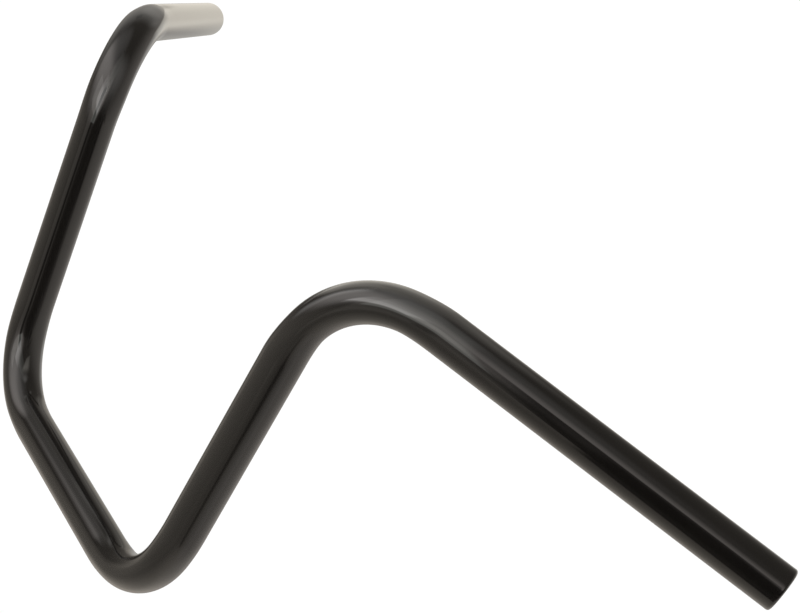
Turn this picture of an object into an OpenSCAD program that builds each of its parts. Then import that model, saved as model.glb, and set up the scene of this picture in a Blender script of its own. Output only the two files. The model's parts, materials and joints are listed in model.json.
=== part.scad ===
// Ape hanger handlebar for a motorcycle, bent from one length of round steel tube.
// X runs across the bike, +Y is forward and +Z is up. The origin is the middle of
// the clamp section. The shape is set by the corners where the straight runs would
// meet if their centre lines were drawn on, as on a tube bender's drawing.

/* [Tube] */
// Outside diameter of the tube, the common one-inch bar
tube_od = 25.4; // [22:0.1:32]
// Thickness of the tube's wall
wall = 2.4; // [1.5:0.1:4]
// Radius of the rounded outer edge at each bar end
end_edge_r = 1.6; // [0.4:0.1:2]
// Depth of the chamfer inside each bar end, where the cut was deburred
mouth_chamfer = 0.5; // [0.2:0.1:1]

/* [Clamp section and risers] */
// Distance between the two lower corners
lower_corner_w = 254; // [220:1:340]
// Distance between the two upper corners
upper_corner_w = 319; // [260:1:420]
// Height of the upper corners above the clamp section
rise = 256; // [220:1:420]

/* [Grips] */
// Distance between the centres of the two bar ends
end_w = 755; // [640:1:900]
// How far back the bar ends lie from the clamp section
pullback = 177.5; // [60:0.5:260]
// How far the bar ends lie below the upper corners
end_drop = 39.5; // [0:0.5:90]

/* [Bends] */
// Centre-line radius of the middle of each bend, as left by the former
bend_r = 56.5; // [45:0.5:75]
// Centre-line radius of the easier curve at both ends of each bend
ease_r = 113; // [90:1:150]
// Angle that each of those easier curves turns through
ease_angle = 10.4; // [4:0.1:16]

/* [Hidden] */
$fn = 96;
tube_r = tube_od / 2;
bore_r = tube_r - wall;
// Extra length of the bore, so that it breaks through the end face
clear = 2;
// Length by which neighbouring pieces of the tube run into each other
lap = 0.2;
// Hair by which a curve is slimmer than the piece it grows out of. It keeps the
// two surfaces from touching along the lap.
hair = 0.05;

function unit(v) = v / norm(v);

// Corners of the right half's centre line, and its bar end
lower_corner = [lower_corner_w / 2, 0, 0];
upper_corner = [upper_corner_w / 2, 0, rise];
bar_end = [end_w / 2, -pullback, rise - end_drop];

// Headings of the three straight runs, from the middle outwards
centre_dir = [1, 0, 0];
riser_dir = unit(upper_corner - lower_corner);
grip_dir = unit(bar_end - upper_corner);

// Angle of each bend, and the roll of the bend plane between them
lower_bend = acos(centre_dir * riser_dir);
upper_bend = acos(riser_dir * grip_dir);
// Inner side of the lower bend as seen from the riser, and the side square to it
riser_in = [-riser_dir[2], 0, riser_dir[0]];
riser_side = [0, -1, 0];
bend_roll = atan2(grip_dir * riser_side, grip_dir * riser_in);

// Distance from a bend's corner to where its curve starts
function setback(angle) =
    ease_r * sin(ease_angle) + bend_r * (sin(angle / 2) - sin(ease_angle))
    + tan(angle / 2) * (ease_r * (1 - cos(ease_angle))
    + bend_r * (cos(ease_angle) - cos(angle / 2)));

// Lengths of the straight runs that the bends leave over
centre_run = lower_corner[0] - setback(lower_bend);
riser_run = norm(upper_corner - lower_corner) - setback(lower_bend) - setback(upper_bend);
grip_run = norm(bar_end - upper_corner) - setback(upper_bend);

// Every piece below starts at the origin and runs along +Z. Its children start
// where it ends, so the bar reads as the list of runs, rolls and turns that
// the tube goes through on the bender.

// A straight length of round rod
module run(radius, length) {
    translate([0, 0, -lap]) cylinder(r = radius, h = length + 2 * lap);
    translate([0, 0, length]) children();
}

// Turns the bend plane about the tube's own axis
module roll(angle) rotate([0, 0, angle]) children();

// A round rod curved towards +X
module curve(radius, curve_r, angle) {
    lap_angle = lap / curve_r * 180 / PI;
    translate([curve_r, 0, 0]) {
        rotate([90, 0, 180])
            rotate_extrude(angle = angle + 2 * lap_angle, start = -lap_angle)
                translate([curve_r, 0]) circle(r = radius);
        rotate([0, angle, 0]) translate([-curve_r, 0, 0]) children();
    }
}

// A whole bend: an easier curve in, the former's radius, an easier curve out
module bend(radius, angle)
    curve(radius - hair, ease_r, ease_angle)
        curve(radius - 2 * hair, bend_r, angle - 2 * ease_angle)
            curve(radius - hair, ease_r, ease_angle)
                children();

// The right half's route for a rod of the given radius, from the end of the
// straight clamp section to where the grip starts
module right_route(radius)
    translate([centre_run, 0, 0]) rotate([0, 90, 0]) roll(180)
        bend(radius, lower_bend)
            run(radius, riser_run)
                roll(bend_roll)
                    bend(radius, upper_bend)
                        children();

// The grip's outside, with its rounded edge at the bar end
module grip_rod()
    rotate_extrude() {
        translate([0, -lap]) square([tube_r, grip_run - end_edge_r + lap]);
        square([tube_r - end_edge_r, grip_run]);
        translate([tube_r - end_edge_r, grip_run - end_edge_r]) circle(r = end_edge_r);
    }

// The grip's bore, which opens into the chamfer and past the end face
module grip_bore()
    rotate_extrude() polygon([
        [0, -lap], [bore_r, -lap], [bore_r, grip_run - mouth_chamfer],
        [bore_r + mouth_chamfer, grip_run], [bore_r + mouth_chamfer, grip_run + clear],
        [0, grip_run + clear]
    ]);

// A rod along the whole bar, with its children as the last length at both ends
module whole_route(radius) {
    rotate([0, 90, 0]) cylinder(r = radius, h = 2 * (centre_run + lap), center = true);
    right_route(radius) children();
    mirror([1, 0, 0]) right_route(radius) children();
}

module handlebar() color("#2c2926")
    difference() {
        whole_route(tube_r) grip_rod();
        whole_route(bore_r) grip_bore();
    }

handlebar();
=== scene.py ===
# %% [markdown]
# # An ape hanger handlebar in gloss black paint
# The real bar is one length of one-inch steel tube. A bender makes four bends in it,
# the open ends are deburred, and the whole bar is painted gloss black.
# This script sweeps that tube as a fine mesh, gives it its paint, and sets it in a
# bright studio, because gloss black is seen almost only by what it reflects.
# The tube's two radii come from the part's record, so that the mesh keeps to the
# grips and plugs that the record says will fit.

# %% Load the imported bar
import json
from math import acos, atan2, ceil, cos, radians, sin, tan, tau

import bmesh
import bpy
from mathutils import Matrix, Vector


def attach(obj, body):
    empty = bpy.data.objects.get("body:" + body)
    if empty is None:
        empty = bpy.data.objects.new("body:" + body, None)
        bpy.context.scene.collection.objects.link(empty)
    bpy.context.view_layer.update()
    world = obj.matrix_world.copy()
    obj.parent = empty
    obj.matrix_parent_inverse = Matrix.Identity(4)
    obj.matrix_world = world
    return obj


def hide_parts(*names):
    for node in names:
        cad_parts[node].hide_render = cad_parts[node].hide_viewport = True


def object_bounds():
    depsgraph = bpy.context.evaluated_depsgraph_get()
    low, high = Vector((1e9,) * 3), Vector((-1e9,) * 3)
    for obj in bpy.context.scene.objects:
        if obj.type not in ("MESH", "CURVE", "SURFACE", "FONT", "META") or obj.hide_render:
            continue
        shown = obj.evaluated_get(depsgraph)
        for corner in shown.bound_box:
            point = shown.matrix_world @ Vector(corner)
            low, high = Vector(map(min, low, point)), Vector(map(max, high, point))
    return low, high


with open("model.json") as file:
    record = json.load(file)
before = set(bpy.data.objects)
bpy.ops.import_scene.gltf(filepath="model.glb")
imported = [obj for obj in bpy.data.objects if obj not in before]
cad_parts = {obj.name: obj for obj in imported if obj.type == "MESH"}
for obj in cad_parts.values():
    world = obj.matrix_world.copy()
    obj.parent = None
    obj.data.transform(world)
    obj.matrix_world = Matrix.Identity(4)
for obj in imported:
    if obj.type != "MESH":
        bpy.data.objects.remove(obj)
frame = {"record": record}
cad_low, cad_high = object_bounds()
MM = 0.001
mount_sizes = {mount["name"]: mount["dims"] for mount in frame["record"]["mounts"]}
TUBE_R = mount_sizes["right_grip_seat"]["r_mm"] * MM
BORE_R = mount_sizes["right_bar_end"]["r_mm"] * MM
print("the bar measures", [round(v, 3) for v in cad_high - cad_low], "m")
print("the tube is", round(2 * TUBE_R / MM, 1), "mm thick and its bore", round(2 * BORE_R / MM, 1), "mm")

# %% [markdown]
# ## The camera
# A long lens from above the left bar end, tilted about its own axis. A camera is
# turned by its heading and height first and by its tilt last, so the three angles
# can be read off one by one. The shift stands for a picture that was cropped
# off-centre after it was taken.

# %% Set up the camera
CAMERA_PLACE = Vector((-0.9556, 0.5851, 0.5683))
CAMERA_HEADING = radians(233.31)
CAMERA_HEIGHT = radians(20.49)
CAMERA_TILT = radians(25.14)
FOCAL_LENGTH, SENSOR_WIDTH = 88.25, 36
PICTURE_SHIFT = (0.1122, 0.0569)
NEAREST, FARTHEST = 0.05, 50

away = Vector((sin(CAMERA_HEADING) * cos(CAMERA_HEIGHT),
               -cos(CAMERA_HEADING) * cos(CAMERA_HEIGHT),
               sin(CAMERA_HEIGHT)))
camera_data = bpy.data.cameras.new("camera")
camera_data.lens = FOCAL_LENGTH
camera_data.sensor_width = SENSOR_WIDTH
camera_data.shift_x, camera_data.shift_y = PICTURE_SHIFT
camera_data.clip_start, camera_data.clip_end = NEAREST, FARTHEST
camera = bpy.data.objects.new("camera", camera_data)
turned = (-away).to_track_quat("-Z", "Y").to_matrix() @ Matrix.Rotation(CAMERA_TILT, 3, "Z")
camera.matrix_world = Matrix.Translation(CAMERA_PLACE) @ turned.to_4x4()
bpy.context.scene.collection.objects.link(camera)
bpy.context.scene.camera = camera
bpy.context.scene.view_settings.view_transform = "Standard"
print("the camera stands", round(CAMERA_PLACE.length, 2), "m from the middle of the clamp section")

# %% [markdown]
# ## The tube's route
# A bender works from the corners where the straight runs would meet. From each
# corner's angle and the bend's radius comes the setback, the distance from the
# corner to where the curve starts, and what is left between two setbacks is
# straight tube. A real bend does not start at its full radius: it eases in and
# out, so each bend here is three curves, and the outer two are easier.

# %% Work out the route of the right half
LOWER_CORNER = Vector((0.127, 0, 0))
UPPER_CORNER = Vector((0.1595, 0, 0.256))
BAR_END = Vector((0.3775, -0.1775, 0.2165))
BEND_R, EASE_R = 0.0565, 0.113
EASE_ANGLE = radians(10.4)

centre_dir = LOWER_CORNER.normalized()
riser_dir = (UPPER_CORNER - LOWER_CORNER).normalized()
grip_dir = (BAR_END - UPPER_CORNER).normalized()
lower_bend, upper_bend = acos(centre_dir @ riser_dir), acos(riser_dir @ grip_dir)
riser_in, riser_side = Vector((-riser_dir.z, 0, riser_dir.x)), Vector((0, -1, 0))
bend_roll = atan2(grip_dir @ riser_side, grip_dir @ riser_in)


def setback(angle):
    """Distance from a corner to where its eased bend starts."""
    along = EASE_R * sin(EASE_ANGLE) + BEND_R * (sin(angle / 2) - sin(EASE_ANGLE))
    across = EASE_R * (1 - cos(EASE_ANGLE)) + BEND_R * (cos(EASE_ANGLE) - cos(angle / 2))
    return along + across * tan(angle / 2)


centre_run = LOWER_CORNER.length - setback(lower_bend)
riser_run = (UPPER_CORNER - LOWER_CORNER).length - setback(lower_bend) - setback(upper_bend)
grip_run = (BAR_END - UPPER_CORNER).length - setback(upper_bend)
print("straight runs in mm:", [round(v / MM, 1) for v in (centre_run, riser_run, grip_run)])

# %% [markdown]
# ## The steps of a sweep
# The mesh is drawn the way the tube is fed through the bender. It starts as one ring
# of points, and every step extrudes the open rim and carries the new ring on by a
# matrix: a move for a straight run, a turn about the bend's centre for a curve.
# Gloss paint shows every flat, so a ring has many points and a curve has a ring
# every degree or two. A straight run needs rings only close to its ends, where they
# keep the curve's shading from leaking along the run.

# %% Write the steps
OUTER_STEP, BORE_STEP = radians(1.5), radians(6)
GUARD = 2.5 * MM


def run_steps(length):
    """A straight run as moves along the tube: a short one at each end and a long one between."""
    return [(Matrix.Translation((0, 0, part)), part) for part in (GUARD, length - 2 * GUARD, GUARD)]


def curve_steps(radius, angle, step):
    """A curve towards the frame's +X as equal turns of about the given step."""
    count = ceil(angle / step)
    to_centre = Matrix.Translation((radius, 0, 0))
    turn = to_centre @ Matrix.Rotation(angle / count, 4, "Y") @ to_centre.inverted()
    return [(turn, radius * angle / count)] * count


def bend_steps(angle, step):
    """A whole bend: an easier curve in, the former's radius, an easier curve out."""
    ease = curve_steps(EASE_R, EASE_ANGLE, step / 2)
    return ease + curve_steps(BEND_R, angle - 2 * EASE_ANGLE, step) + ease


print("the upper bend is swept in", len(bend_steps(upper_bend, OUTER_STEP)), "steps")

# %% [markdown]
# ## How a bent tube gives
# A tube flattens in its bends: the wall on the outside of the bend is stretched and
# drawn in, so the section turns slightly oval. The photograph shows it as a
# narrowing of some eight per cent in the plane of the bend. Each ring gets its
# share by a scale in its own frame, which rises and falls smoothly along the bend.

# %% Flatten the rings of a bend
FLATTENING = 0.084
SPREAD = 0.6
FLATTEN_OVER = 1.3 * EASE_R * EASE_ANGLE


def smooth(x):
    """Rises from 0 to 1 with no corner at either end."""
    x = min(max(x, 0), 1)
    return x * x * (3 - 2 * x)


def flatten(bm, rings):
    """Makes the rings of one bend oval. Each ring has its points, its frame and its place along."""
    whole = rings[-1][2]
    for points, place, travelled in rings:
        rise, fall = smooth(travelled / FLATTEN_OVER), smooth((whole - travelled) / FLATTEN_OVER)
        share = FLATTENING * rise * fall
        oval = (1 - share, 1 + SPREAD * share, 1)
        bmesh.ops.scale(bm, vec=oval, space=place.inverted(), verts=points)


narrow = 2 * TUBE_R * (1 - FLATTENING)
print("in mid-bend the tube is", round(narrow / MM, 1), "mm thick in the bend's plane")

# %% [markdown]
# ## The two walls
# The outside and the bore are the same walk at two radii, so one function sweeps
# both. It goes from the middle of the clamp section to the right bar end. The tube
# is rolled in the bender before its upper bend, and the ring's frame rolls with it.
# The rings are made oval last, because each new ring starts as a copy of the one
# before it. The mesh gets room for one number on each point, called inside, which
# will tell the paint where the bore is.

# %% Sweep the outside and the bore
RING_POINTS = 96
FIRST_FRAME = Matrix(((0, 0, 1, 0), (0, -1, 0, 0), (1, 0, 0, 0), (0, 0, 0, 1)))


def extrude_rim(bm, rim):
    """Extrudes an open rim on the spot. Returns the new rim's points and edges."""
    grown = bmesh.ops.extrude_edge_only(bm, edges=rim)["geom"]
    return ([part for part in grown if isinstance(part, bmesh.types.BMVert)],
            [part for part in grown if isinstance(part, bmesh.types.BMEdge)])


def sweep(bm, radius, step):
    """Sweeps a ring from the bar's middle to its right end. Returns the last ring's edges and frame."""
    first = bmesh.ops.create_circle(bm, segments=RING_POINTS, radius=radius, matrix=FIRST_FRAME)["verts"]
    rim = list({edge for point in first for edge in point.link_edges})
    place = FIRST_FRAME.copy()
    upper_leg = bend_steps(upper_bend, step)
    legs = []
    for leg in (run_steps(centre_run), bend_steps(lower_bend, step), run_steps(riser_run),
                upper_leg, run_steps(grip_run)):
        if leg is upper_leg:
            place = place @ Matrix.Rotation(bend_roll, 4, "Z")
        rings, travelled = [], 0
        for move, length in leg:
            points, rim = extrude_rim(bm, rim)
            after = place @ move
            bmesh.ops.transform(bm, matrix=after @ place.inverted(), verts=points)
            place = after
            travelled += length
            rings.append((points, place.copy(), travelled))
        legs.append(rings)
    for bend in legs[1::2]:
        flatten(bm, bend)
    print("a wall of radius", round(radius / MM, 2), "mm ends at",
          [round(v / MM, 2) for v in place.translation])
    return rim, place


bm = bmesh.new()
inside = bm.verts.layers.float.new("inside")
outer_rim, _ = sweep(bm, TUBE_R, OUTER_STEP)
outer_points = set(bm.verts)
bore_rim, end_frame = sweep(bm, BORE_R, BORE_STEP)

# %% [markdown]
# ## The cut end
# The bar is sawn to length, and the saw leaves a burr that is scraped off inside.
# So the last ring of the bore is drawn back a little, extruded to the end again and
# widened there, which makes a small chamfer. The rings of the two walls are then
# joined, point by point, into the narrow face of the cut. Both are put in order by
# their angle round the tube, with a nudge that keeps a point at angle nought from
# falling at either end of the order. Every point that is not on the outside is
# marked as inside.

# %% Make the cut end
MOUTH_CHAMFER = 0.5 * MM
NUDGE = 0.01
to_end = end_frame.inverted()


def in_order(points):
    """The points of a ring at the bar end, in their order round the tube."""
    def angle(point):
        spot = to_end @ point.co
        return (atan2(spot.y, spot.x) + NUDGE) % tau
    return sorted(points, key=angle)


def points_of(rim):
    """The points that the edges of a rim share."""
    return list({point for edge in rim for point in edge.verts})


bmesh.ops.translate(bm, vec=(0, 0, -MOUTH_CHAMFER), space=to_end, verts=points_of(bore_rim))
mouth, mouth_rim = extrude_rim(bm, bore_rim)
flare = 1 + MOUTH_CHAMFER / BORE_R
bmesh.ops.translate(bm, vec=(0, 0, MOUTH_CHAMFER), space=to_end, verts=mouth)
bmesh.ops.scale(bm, vec=(flare, flare, 1), space=to_end, verts=mouth)
for point in set(bm.verts) - outer_points:
    point[inside] = 1
wide_ring, narrow_ring = in_order(points_of(outer_rim)), in_order(mouth)
for n in range(RING_POINTS):
    bm.faces.new((wide_ring[n - 1], wide_ring[n], narrow_ring[n], narrow_ring[n - 1]))
print("the face of the cut is", round((TUBE_R - BORE_R - MOUTH_CHAMFER) / MM, 2), "mm wide")

# %% [markdown]
# ## The rounded edge and the other half
# A dressed edge under thick paint looks round, so a bevel of several segments rounds
# the outer edge. Then the half is mirrored across the middle of the bike, where the
# two halves weld along their first rings.

# %% Round the edge and mirror the half
EDGE_R, EDGE_SEGMENTS, EVEN_ROUND = 1.6 * MM, 8, 0.5
WELD, CM3 = 0.001 * MM, 1e-6
bmesh.ops.bevel(bm, geom=outer_rim, offset=EDGE_R, segments=EDGE_SEGMENTS, profile=EVEN_ROUND,
                affect="EDGES", material=-1)
bmesh.ops.mirror(bm, geom=list(bm.verts) + list(bm.edges) + list(bm.faces),
                 matrix=Matrix.Identity(4), merge_dist=WELD, axis="X")
bmesh.ops.recalc_face_normals(bm, faces=bm.faces)
for face in bm.faces:
    face.smooth = True
print("faces", len(bm.faces), "open edges", sum(edge.is_boundary for edge in bm.edges),
      "volume in cm3", round(bm.calc_volume() / CM3, 1))

# %% [markdown]
# ## One piece on the root
# The points are already where the imported bar has them, so the object stays at the
# origin with no move or turn of its own. The bar is one piece and never moves, so it
# rides on the root. It stands for the plain solid, which is hidden.

# %% Put the bar in the scene
bar_mesh = bpy.data.meshes.new("painted_tube")
bm.to_mesh(bar_mesh)
bm.free()
bar = bpy.data.objects.new("painted_tube", bar_mesh)
bpy.context.scene.collection.objects.link(bar)
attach(bar, "root")
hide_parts("handlebar")
print(bar.name, "has", len(bar_mesh.polygons), "faces")

# %% [markdown]
# ## Shader sums as Python
# A node tree that adds and multiplies is easier to read as a line of arithmetic. Net
# makes nodes from a type, settings and inputs, and Wire is a number in the tree
# that knows + - * and /, so an expression on wires adds its own Math nodes. The
# last lines open the paint's own tree, which the next two cells fill.

# %% A small language for nodes
class Net:
    """A node tree. One method adds any node, and one plugs a wire, a socket or a constant in."""

    def __init__(self, tree):
        self.tree = tree
        tree.nodes.clear()

    def node(self, kind, inputs=(), **settings):
        made = self.tree.nodes.new(kind)
        for name, value in settings.items():
            setattr(made, name, value)
        for key, value in dict(inputs).items():
            self.plug(made.inputs[key], value)
        return made

    def plug(self, socket, value):
        if isinstance(value, Wire):
            value = value.socket
        if isinstance(value, bpy.types.NodeSocket):
            self.tree.links.new(value, socket)
        else:
            socket.default_value = value

    def wire(self, kind, inputs=(), output=0, **settings):
        return Wire(self, self.node(kind, inputs, **settings).outputs[output])


class Wire:
    """A number that varies, with arithmetic."""

    def __init__(self, net, socket):
        self.net, self.socket = net, socket

    def maths(self, operation, first, second=0.0):
        return self.net.wire("ShaderNodeMath", {0: first, 1: second}, operation=operation)

    def __add__(self, other):
        return self.maths("ADD", self, other)

    def __sub__(self, other):
        return self.maths("SUBTRACT", self, other)

    def __rsub__(self, other):
        return self.maths("SUBTRACT", other, self)

    def __mul__(self, other):
        return self.maths("MULTIPLY", self, other)

    def __truediv__(self, other):
        return self.maths("DIVIDE", self, other)

    __radd__, __rmul__ = __add__, __mul__

    def between(self, start, end):
        """Goes smoothly from 0 to 1 as the number goes from start to end."""
        numbers = {"Value": self, "From Min": start, "From Max": end}
        return self.net.wire("ShaderNodeMapRange", numbers, interpolation_type="SMOOTHSTEP")

    def size(self):
        """The number without its sign."""
        return self.maths("ABSOLUTE", self)


paint = bpy.data.materials.new("gloss_black_paint")
paint.use_nodes = True
net = Net(paint.node_tree)
position = net.node("ShaderNodeTexCoord").outputs["Object"]
inside_bore = net.wire("ShaderNodeAttribute", attribute_name="inside", output="Fac")
print("the paint's tree starts with", len(paint.node_tree.nodes), "nodes")

# %% [markdown]
# ## The paint's colour
# The paint is black enamel under its own clear gloss. It is a very deep, warm black,
# and a long, faint wave in it makes it a shade lighter here and there. The bore is
# bare drawn steel, and the number on the points leads over to it.

# %% Mix the colour
DEEP_BLACK, WARM_BLACK = (0.0052, 0.0046, 0.0041, 1), (0.0072, 0.0062, 0.0054, 1)
DRAWN_STEEL = (0.30, 0.285, 0.27, 1)
WAVE_WIDTH = 40 * MM


def noise(width, detail=0.0):
    """Noise whose lumps are about the given width across."""
    return net.wire("ShaderNodeTexNoise", {"Vector": position, "Scale": 1 / width, "Detail": detail})


def blend(net, share, first, second, way="MIX"):
    """A colour between two others, or the first with the second added or multiplied by that share."""
    mixed = net.node("ShaderNodeMix", data_type="RGBA", blend_type=way)
    for number, value in ((0, share), (6, first), (7, second)):
        net.plug(mixed.inputs[number], value)
    return mixed.outputs[2]


long_wave = noise(WAVE_WIDTH)
colour = blend(net, long_wave, DEEP_BLACK, WARM_BLACK)
colour = blend(net, inside_bore, colour, DRAWN_STEEL)
print("with its colour the tree has", len(paint.node_tree.nodes), "nodes")

# %% [markdown]
# ## The paint's surface
# A spray coat is never quite flat: it has a fine orange peel a few millimetres wide,
# and the same long wave as the colour. A little dust in it dulls the gloss in specks.
# The steel in the bore is far duller. The clear coat on top gives the second, sharper
# reflection that real enamel has, and it stops where the bore begins.

# %% Give the paint its gloss
PEEL_WIDTH, DUST_WIDTH = 4 * MM, 2 * MM
PEEL_DEPTH, WAVE_DEPTH = 0.1 * MM, 1.5 * MM
COAT_DULLNESS, WAVE_DULLNESS, DUST_DULLNESS, STEEL_DULLNESS = 0.03, 0.02, 0.04, 0.35
DUST_FROM, DUST_FULL = 0.70, 0.80
PAINT_IOR = 1.5

orange_peel = noise(PEEL_WIDTH)
dust = noise(DUST_WIDTH, detail=1.0).between(DUST_FROM, DUST_FULL)
dullness = (COAT_DULLNESS + WAVE_DULLNESS * long_wave + DUST_DULLNESS * dust
            + STEEL_DULLNESS * inside_bore)
peel = net.wire("ShaderNodeBump", {"Height": orange_peel, "Strength": 0.02, "Distance": PEEL_DEPTH},
                output="Normal")
wave = net.wire("ShaderNodeBump", {"Height": long_wave, "Strength": 0.04, "Distance": WAVE_DEPTH,
                                   "Normal": peel}, output="Normal")
surface = net.node("ShaderNodeBsdfPrincipled", {
    "Base Color": colour, "Roughness": dullness, "Metallic": inside_bore, "Normal": wave,
    "Coat Weight": 1 - inside_bore})
surface.inputs["Coat Roughness"].default_value = COAT_DULLNESS
surface.inputs["Coat IOR"].default_value = PAINT_IOR
surface.inputs["IOR"].default_value = PAINT_IOR
net.plug(net.node("ShaderNodeOutputMaterial").inputs["Surface"], surface.outputs[0])
bar_mesh.materials.append(paint)
print("with its gloss the tree has", len(paint.node_tree.nodes), "nodes")

# %% [markdown]
# ## Directions in the studio
# Gloss black shows the room. Every light here is placed by two angles, as a
# photographer would point at it: a compass angle that runs from +X towards +Y, and a
# height above level.

# %% Point at things
def direction(compass, height):
    """The unit vector at a compass angle and a height above level, in degrees."""
    a, h = radians(compass), radians(height)
    return Vector((cos(a) * cos(h), sin(a) * cos(h), sin(h)))


print("straight ahead of the bike is", [round(v, 2) for v in direction(90, 0)])

# %% [markdown]
# ## Patches of light on the walls
# The far room is the world: a plain tone with soft-edged patches on it. A patch is a
# share from 0 to 1, worked out from the direction that a ray looks in. A disc is cut
# by the angle to its middle, and a rectangle by how far across and up the ray hits a
# flat wall there. Its place, its half sizes and its softness are all in degrees.

# %% Make the tools for the walls
world = bpy.data.worlds.new("studio")
world.use_nodes = True
bpy.context.scene.world = world
room = Net(world.node_tree)
look = room.node("ShaderNodeTexCoord").outputs["Generated"]
SIDEWAYS = 0.05


def along(vector):
    """How far the looked-at direction points along a vector."""
    return room.wire("ShaderNodeVectorMath", {0: look, 1: vector}, output="Value",
                     operation="DOT_PRODUCT")


def level_axes(aim, lean):
    """The directions to the right and up of someone who looks along aim, with the head leant over."""
    right = Matrix.Rotation(radians(lean), 3, aim) @ aim.cross((0, 0, 1)).normalized()
    return right, right.cross(aim)


def patch(compass, height, half_width, half_height, soft, lean=0):
    """A soft-edged rectangle on the wall."""
    aim = direction(compass, height)
    right, up = level_axes(aim, lean)
    depth = along(aim)
    x, y = (along(right) / depth).size(), (along(up) / depth).size()
    edge, wide, high = tan(radians(soft)), tan(radians(half_width)), tan(radians(half_height))
    return (x.between(wide + edge, wide - edge) * y.between(high + edge, high - edge)
            * depth.between(0.0, SIDEWAYS))


def disc(compass, height, half_width, soft):
    """A soft-edged round patch."""
    outer, inner = cos(radians(half_width + soft)), cos(radians(half_width - soft))
    return along(direction(compass, height)).between(outer, inner)


print("the world's tree starts with", len(world.node_tree.nodes), "node")

# %% [markdown]
# ## The large lights
# The walls are a dull warm grey. A wide glow comes up from the floor ahead of the
# bar and another comes from behind it, and the brightest part is ahead and above: a
# big pale ceiling light with a window-like strip in it. They make the soft
# light bands along the risers and the grip. A light adds its colour to the wall by
# its share.

# %% Light the walls
WALL_TONE = (0.134, 0.122, 0.107, 1)


def add_light(tone, share, colour):
    """Adds a light's colour where its share is above nothing."""
    return blend(room, share, tone, (*colour, 1), "ADD")


def patches():
    """How many lights and shades the walls have."""
    return sum(node.bl_idname == "ShaderNodeMix" for node in world.node_tree.nodes)


tone = add_light(WALL_TONE, disc(63, -64, 56, 17), (0.346, 0.316, 0.276))
tone = add_light(tone, disc(-113, -13, 41, 40), (0.382, 0.356, 0.333))
tone = add_light(tone, disc(-67, -2, 10, 10), (0.334, 0.342, 0.335))
tone = add_light(tone, disc(76, 43, 25, 25), (0.639, 0.621, 0.609))
tone = add_light(tone, patch(95, 26.5, 52, 23, 17, -2), (0.701, 0.645, 0.613))
tone = add_light(tone, patch(104, 15, 19.7, 9.1, 0.5, -1), (0.47, 0.464, 0.439))
tone = add_light(tone, patch(117, -4.5, 16, 24.5, 2, 26), (0.204, 0.191, 0.174))
print("the walls have", patches(), "patches")

# %% [markdown]
# ## The dark side
# Black looks black only where it shows something dark. Most of it is on the side
# that the camera stands on, level with the bar: a deep, soft-edged block, a darker
# one inside it and a narrow dark upright. Weaker shades lie on the floor, with one
# faint light between them. A shade multiplies the wall's colour.

# %% Darken the camera's side and the floor
def shade(tone, share, depth):
    """Darkens by the given depth where the share is above nothing."""
    return blend(room, share, tone, (1 - depth, 1 - depth, 1 - depth, 1), "MULTIPLY")


tone = shade(tone, patch(166, -8, 27, 26, 4.6, 24), 0.53)
tone = shade(tone, patch(165, -5, 16.4, 14, 3, 39), 0.51)
tone = shade(tone, patch(129, -0.5, 5.7, 27, 2.2, -7), 0.89)
tone = add_light(tone, disc(-170, -36, 14, 9), (0.11, 0.105, 0.10))
tone = shade(tone, patch(156, -35, 4, 9, 1.5), 0.40)
tone = shade(tone, patch(84, -51, 56, 16, 25, 3), 0.48)
tone = shade(tone, patch(77, -26, 47, 14.5, 4.7), 0.18)
print("the walls have", patches(), "patches")

# %% [markdown]
# ## Small lights and shades
# The clamp section and the lower bends mirror the far side of the room. Four small
# lights and two small shades there draw their thinner lines, and one pale panel,
# low on that side, replaces what lies behind it.

# %% Add the small patches
PANEL_TONE = (0.40, 0.385, 0.36, 1)
tone = add_light(tone, disc(-38, -3, 11, 11), (0.26, 0.24, 0.21))
tone = add_light(tone, disc(-34, 21, 10, 10), (0.14, 0.135, 0.125))
tone = add_light(tone, disc(11, 38, 8, 7), (0.10, 0.098, 0.092))
tone = add_light(tone, disc(38, 19, 4, 4), (0.13, 0.125, 0.12))
tone = shade(tone, patch(-12, 39, 5, 5, 1.2), 0.60)
tone = shade(tone, patch(40, 2, 3, 3, 1.5), 0.25)
tone = blend(room, disc(-37, -20, 12, 8), tone, PANEL_TONE)
print("the walls have", patches(), "patches")

# %% [markdown]
# ## Who sees the room
# Only the gloss sees those walls. Every other ray, from the camera or off a matt
# surface, meets plain white at strength 1, so the background is white, the light is
# even, and a colour renders about as it is written.

# %% Show the walls to the gloss only
walls = room.node("ShaderNodeBackground", {"Color": tone, "Strength": 1.0})
white = room.node("ShaderNodeBackground", {"Color": (1, 1, 1, 1), "Strength": 1.0})
gloss_ray = room.node("ShaderNodeLightPath").outputs["Is Glossy Ray"]
shown = room.node("ShaderNodeMixShader", {0: gloss_ray, 1: white.outputs[0], 2: walls.outputs[0]})
room.plug(room.node("ShaderNodeOutputWorld").inputs["Surface"], shown.outputs[0])
print("the world's tree has", len(world.node_tree.nodes), "nodes")

# %% [markdown]
# ## Sheets close to the bar
# A light that stands near is seen by each bend in another place, as the walls'
# patches are not. A sheet is a plain rectangle with soft edges, hung so that its
# front faces a spot on the bar. It is part of the stage, and only the gloss sees it.

# %% Hang a sheet
def facing(spot, compass, height, distance, lean):
    """Where a sheet hangs that faces a spot on the bar from a direction and a distance."""
    aim = direction(compass, height)
    right, up = level_axes(aim, lean)
    stand = Matrix((right, up, -aim)).transposed().to_4x4()
    stand.translation = spot + distance * aim
    return stand


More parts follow.
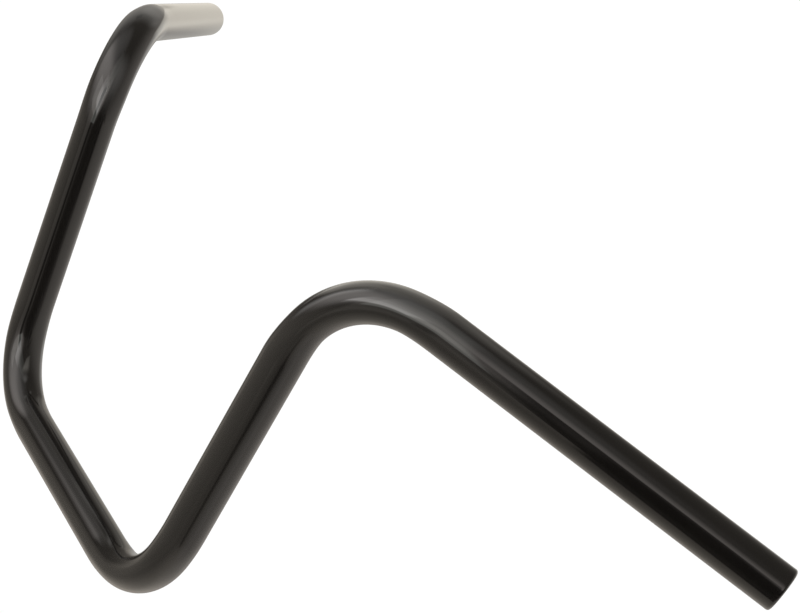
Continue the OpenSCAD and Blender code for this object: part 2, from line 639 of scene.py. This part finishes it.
def hang_sheet(name, stand, half_width, half_height, soft):
    """Hangs a sheet. Returns its nodes, its soft-edged share, and the place up the sheet."""
    bm = bmesh.new()
    bmesh.ops.create_grid(bm, x_segments=1, y_segments=1, size=1)
    bmesh.ops.scale(bm, vec=(half_width + soft, half_height + soft, 1), verts=bm.verts)
    mesh = bpy.data.meshes.new(name)
    bm.to_mesh(mesh)
    bm.free()
    box = bpy.data.objects.new(name, mesh)
    box.matrix_world = stand
    bpy.context.scene.collection.objects.link(box)
    box.visible_camera = box.visible_diffuse = box.visible_shadow = False
    cloth = bpy.data.materials.new(name)
    cloth.use_nodes = True
    mesh.materials.append(cloth)
    net = Net(cloth.node_tree)
    spot = net.node("ShaderNodeSeparateXYZ", {0: net.node("ShaderNodeTexCoord").outputs["Object"]})
    across, up = Wire(net, spot.outputs["X"]), Wire(net, spot.outputs["Y"])
    share = (across.size().between(half_width + soft, half_width - soft)
             * up.size().between(half_height + soft, half_height - soft))
    print(name, "is", round(2 * half_width, 2), "by", round(2 * half_height, 2), "m")
    return net, share, up


BEND_APEX, FAR_BEND = Vector((-0.17, -0.01, 0.25)), Vector((0.15, 0, 0.235))
apart = (FAR_BEND - BEND_APEX).length
print("the two upper bends are lit from their own sides, and are", round(apart, 2), "m apart")

# %% [markdown]
# ## Soft boxes
# A soft box glows on its front and lets everything through, so its light adds to
# what lies behind it. A ramp makes it stronger towards one end, as a lamp near one
# edge of the cloth does. Four of them give the left upper bend its bright, curved
# highlight, and two small ones soften the dark side of the right upper bend.

# %% Set up the soft boxes
def soft_box(name, stand, half_width, half_height, soft, colour, ramp=0):
    """A glowing sheet. Its light fades over its edges, and changes up the sheet by the ramp."""
    net, share, up = hang_sheet(name, stand, half_width, half_height, soft)
    front = 1 - net.wire("ShaderNodeNewGeometry", output="Backfacing")
    level = share * front * (1 + up * (ramp / half_height))
    light = net.node("ShaderNodeEmission", {"Color": (*colour, 1), "Strength": level})
    clear = net.node("ShaderNodeBsdfTransparent")
    both = net.node("ShaderNodeAddShader", {0: clear.outputs[0], 1: light.outputs[0]})
    net.plug(net.node("ShaderNodeOutputMaterial").inputs["Surface"], both.outputs[0])


soft_box("tall_soft_box", facing(BEND_APEX, compass=113, height=38, distance=0.646, lean=4),
         half_width=0.198, half_height=0.60, soft=0.011, colour=(0.295, 0.311, 0.291), ramp=-0.8)
soft_box("wide_soft_box", facing(BEND_APEX, compass=103, height=24.5, distance=0.632, lean=-6),
         half_width=0.225, half_height=0.179, soft=0.027, colour=(0.740, 0.724, 0.724), ramp=-0.96)
soft_box("small_soft_box", facing(BEND_APEX, compass=-26, height=48, distance=0.12, lean=42),
         half_width=0.075, half_height=0.160, soft=0.047, colour=(0.537, 0.512, 0.464), ramp=-0.5)
soft_box("strip_soft_box", facing(BEND_APEX, compass=43, height=16, distance=0.131, lean=-3),
         half_width=0.017, half_height=0.075, soft=0.026, colour=(0.84, 0.83, 0.81))
soft_box("side_soft_box", facing(FAR_BEND, compass=-3.9, height=20, distance=0.08, lean=-23),
         half_width=0.096, half_height=0.019, soft=0.020, colour=(0.265, 0.26, 0.25))
soft_box("middle_soft_box", facing(FAR_BEND, compass=168.5, height=32.6, distance=0.08, lean=-32),
         half_width=0.039, half_height=0.043, soft=0.039, colour=(0.51, 0.50, 0.485))

# %% [markdown]
# ## Black flags
# A flag is a black cloth on a frame that takes light away. One draws the wide black
# band under the left grip's bright line. The other, thinner one darkens the outer
# side of the right upper bend.

# %% Set up the flags
def black_flag(name, stand, half_width, half_height, soft, depth):
    """A black sheet that takes the given share of the light away."""
    net, share, _ = hang_sheet(name, stand, half_width, half_height, soft)
    clear = net.node("ShaderNodeBsdfTransparent")
    black = net.node("ShaderNodeBsdfDiffuse", {"Color": (0, 0, 0, 1)})
    both = net.node("ShaderNodeMixShader", {0: share * depth, 1: clear.outputs[0], 2: black.outputs[0]})
    net.plug(net.node("ShaderNodeOutputMaterial").inputs["Surface"], both.outputs[0])


LEFT_GRIP_MIDDLE = Vector((-0.32, -0.13, 0.227))
black_flag("black_flag", facing(LEFT_GRIP_MIDDLE, compass=139, height=-16, distance=0.157, lean=-10.7),
           half_width=0.082, half_height=0.099, soft=0.012, depth=0.85)
black_flag("bend_flag", facing(FAR_BEND, compass=45.4, height=56, distance=0.213, lean=-54),
           half_width=0.070, half_height=0.179, soft=0.042, depth=0.37)

# %% [markdown]
# ## The white board
# The far grip is seen almost along its length, and any gloss surface is a strong
# mirror at such a flat angle. What it mirrors is a white board past its end, and
# that turns the black grip cream. The board lies in one plane with the clamp
# section, so that the clamp section sees only its edge, and nothing of it shows there.

# %% Set up the board
BOARD_SLOPE = Vector((0, -0.764, 0.645))
BOARD_SIDE, BOARD_UP = 0.47, 0.43
board_right = Vector((-1, 0, 0))
board_stand = Matrix((board_right, BOARD_SLOPE, board_right.cross(BOARD_SLOPE))).transposed().to_4x4()
board_stand.translation = Vector((BOARD_SIDE, 0, 0)) + BOARD_UP * BOARD_SLOPE
soft_box("white_board", board_stand,
         half_width=0.17, half_height=0.125, soft=0.035, colour=(0.44, 0.42, 0.37))

# %% [markdown]
# ## The floor
# A wide pale sheet lies below the bar, which is held in the air at its clamp
# section. The camera sees a little extra glow on it, which makes it white, and it
# still takes the bar's soft shadow. The gloss looks through it to the walls.

# %% Lay the floor
FLOOR_DROP, FLOOR_HALF = 0.3, 6
FLOOR_COLOUR, FLOOR_GLOW = (0.90, 0.90, 0.90, 1), 0.13
floor_height = cad_low.z - FLOOR_DROP
bm = bmesh.new()
bmesh.ops.create_grid(bm, x_segments=1, y_segments=1, size=FLOOR_HALF,
                      matrix=Matrix.Translation((0, 0, floor_height)))
floor_mesh = bpy.data.meshes.new("floor")
bm.to_mesh(floor_mesh)
bm.free()
floor = bpy.data.objects.new("floor", floor_mesh)
bpy.context.scene.collection.objects.link(floor)
floor.visible_glossy = False
pale = bpy.data.materials.new("pale_sheet")
pale.use_nodes = True
floor_mesh.materials.append(pale)
net = Net(pale.node_tree)
matt = net.node("ShaderNodeBsdfDiffuse", {"Color": FLOOR_COLOUR})
glow = net.node("ShaderNodeEmission", {"Color": (1, 1, 1, 1), "Strength": FLOOR_GLOW})
both = net.node("ShaderNodeAddShader", {0: matt.outputs[0], 1: glow.outputs[0]})
camera_ray = net.node("ShaderNodeLightPath").outputs["Is Camera Ray"]
mixed = net.node("ShaderNodeMixShader", {0: camera_ray, 1: matt.outputs[0], 2: both.outputs[0]})
net.plug(net.node("ShaderNodeOutputMaterial").inputs["Surface"], mixed.outputs[0])
print("the floor lies at", round(floor_height, 3), "m")
